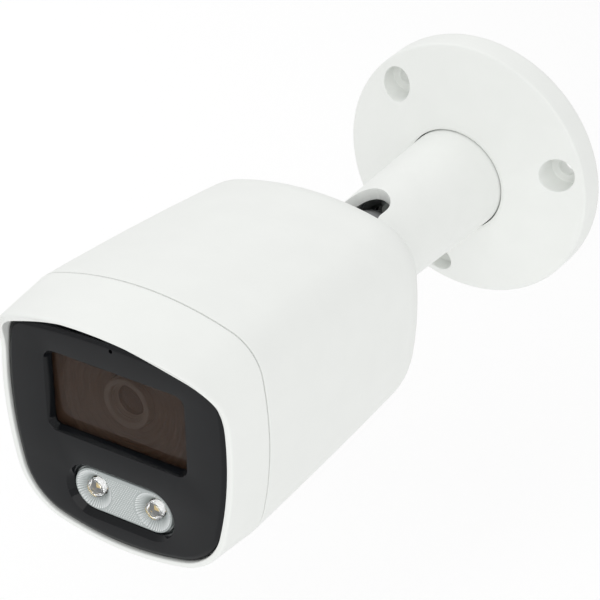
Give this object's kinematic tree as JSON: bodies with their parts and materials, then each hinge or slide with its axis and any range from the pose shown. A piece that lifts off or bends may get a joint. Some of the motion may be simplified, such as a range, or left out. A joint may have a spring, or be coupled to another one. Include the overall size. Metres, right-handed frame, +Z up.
{
  "type": "security camera",
  "caption": "Small white bullet security camera with a black front panel, tinted lens window and lamp window, on a round wall bracket that pans, tilts and rolls.",
  "frame": {"origin": "centre of the bracket's base on the wall", "axes": "+Z up, +Y into the wall, the camera looks along -Y"},
  "size_m": [0.07, 0.1626, 0.0705],
  "materials": {
    "white_paint": "fine matt powder coat",
    "black_gloss": "polished",
    "black_plastic": "matt moulded",
    "smoked_glass": "polished, brown tint",
    "clear_plastic": "polished, clear",
    "dark_metal": "dark plated",
    "steel": "satin",
    "brass": "turned",
    "rubber": "matt",
    "board_green": "solder mask",
    "aluminium": "machined",
    "lens_glass": "coated",
    "phosphor": "matt"
  },
  "bodies": {
    "root": {"wall_base": "white_paint", "pan_friction_washer": "black_plastic", "pan_spring": "steel", "pan_cover": "steel", "pan_cover_screw_1": "steel", "pan_cover_screw_2": "steel", "pan_cover_screw_3": "steel"},
    "arm": {"bracket_arm": "white_paint", "tilt_pin_left": "steel", "tilt_pin_right": "steel", "knuckle_press_ring": "steel", "knuckle_spring": "steel", "knuckle_spring_stop": "dark_metal", "tilt_lock_screw": "steel"},
    "knuckle": {"knuckle": "dark_metal", "neck_washer": "steel", "neck_nut": "brass"},
    "camera": {"rear_housing": "white_paint", "front_shell": "white_paint", "front_panel": "black_gloss", "lens_baffle": "black_plastic", "lens_holder": "black_plastic", "chassis": "black_plastic", "processor": "black_plastic", "window_glass": "smoked_glass", "light_optic": "clear_plastic", "lens_barrel": "dark_metal", "microphone": "dark_metal", "shell_screw_1": "steel", "shell_screw_2": "steel", "shell_screw_3": "steel", "shell_screw_4": "steel", "light_board_screw_left": "steel", "light_board_screw_right": "steel", "chassis_screw_1": "steel", "chassis_screw_2": "steel", "board_screw_1": "steel", "board_screw_2": "steel", "board_screw_3": "steel", "board_screw_4": "steel", "front_spacer_1": "brass", "front_spacer_2": "brass", "front_spacer_3": "brass", "front_spacer_4": "brass", "rear_spacer_1": "brass", "rear_spacer_2": "brass", "rear_spacer_3": "brass", "rear_spacer_4": "brass", "seam_seal": "rubber", "neck_seal": "rubber", "panel_gasket": "rubber", "sensor_board": "board_green", "main_board": "board_green", "light_board": "aluminium", "heat_sink": "aluminium", "lens_front_glass": "lens_glass", "image_sensor": "lens_glass", "light_left": "phosphor", "light_right": "phosphor"}
  },
  "joints": [
    {"name": "pan", "type": "hinge", "parent": "root", "child": "arm", "pos_m": [0, 0, 0], "axis": [0, -1, 0], "range_deg": [-180, 180]},
    {"name": "tilt", "type": "hinge", "parent": "arm", "child": "knuckle", "pos_m": [0, -0.0524, 0], "axis": [-0.9895, 0, -0.1444], "range_deg": [0, 90]},
    {"name": "roll", "type": "hinge", "parent": "knuckle", "child": "camera", "pos_m": [0, -0.0707, 0], "axis": [0, -1, 0], "range_deg": [-180, 180]}
  ]
}
